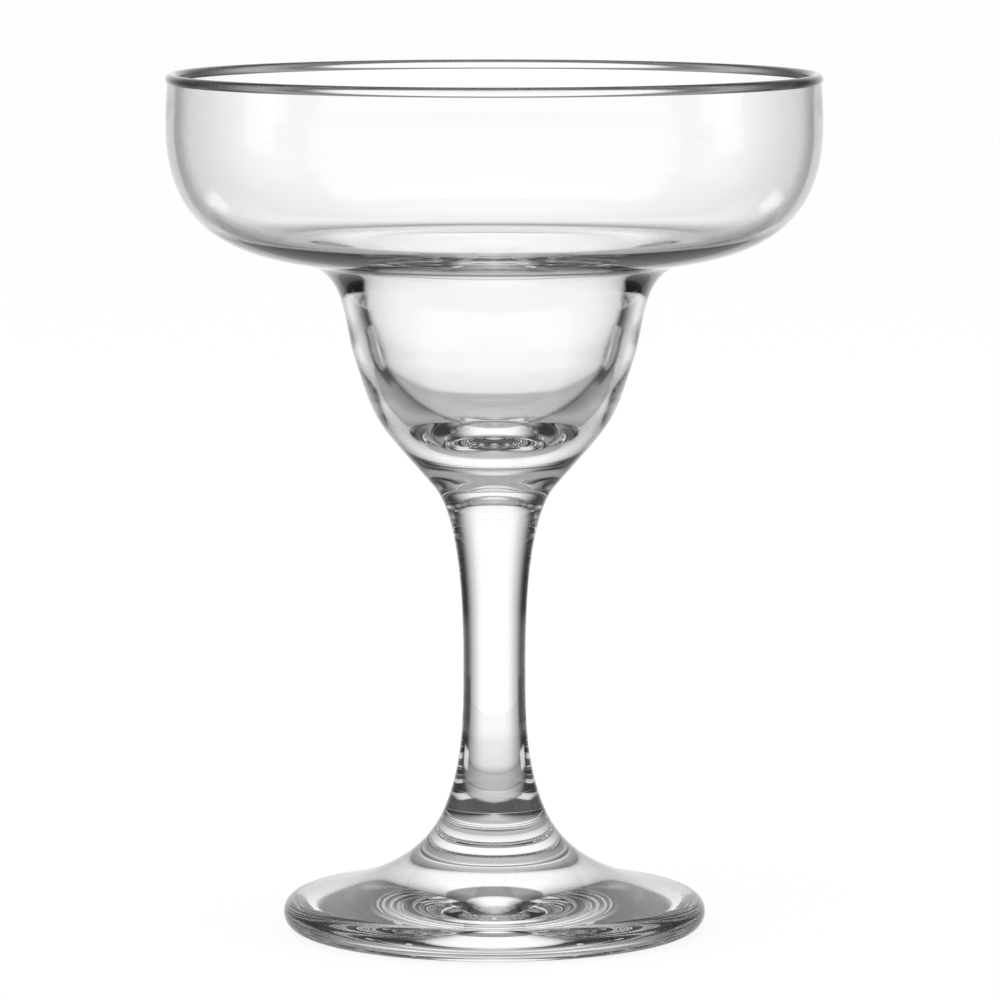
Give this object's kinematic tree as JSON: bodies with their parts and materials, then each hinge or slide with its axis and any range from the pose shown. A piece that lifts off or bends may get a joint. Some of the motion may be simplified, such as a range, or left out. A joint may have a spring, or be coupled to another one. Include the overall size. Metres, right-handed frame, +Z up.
{
  "type": "margarita glass",
  "caption": "Clear stemmed cocktail glass with a wide shallow basin over a thick round cup, a solid waisted stem and a round foot.",
  "frame": {"origin": "the glass's own axis at the level of the surface it stands on", "axes": "+Z up along the axis of the stem, towards the rim; the glass is round, so +X and +Y are any two square directions"},
  "size_m": [0.117, 0.117, 0.1538],
  "materials": {
    "clear_glass": "fire-polished clear soda-lime glass, colourless, smooth all over"
  },
  "bodies": {
    "root": {"foot": "clear_glass", "stem": "clear_glass", "bowl": "clear_glass", "rim_bead": "clear_glass"}
  },
  "joints": []
}
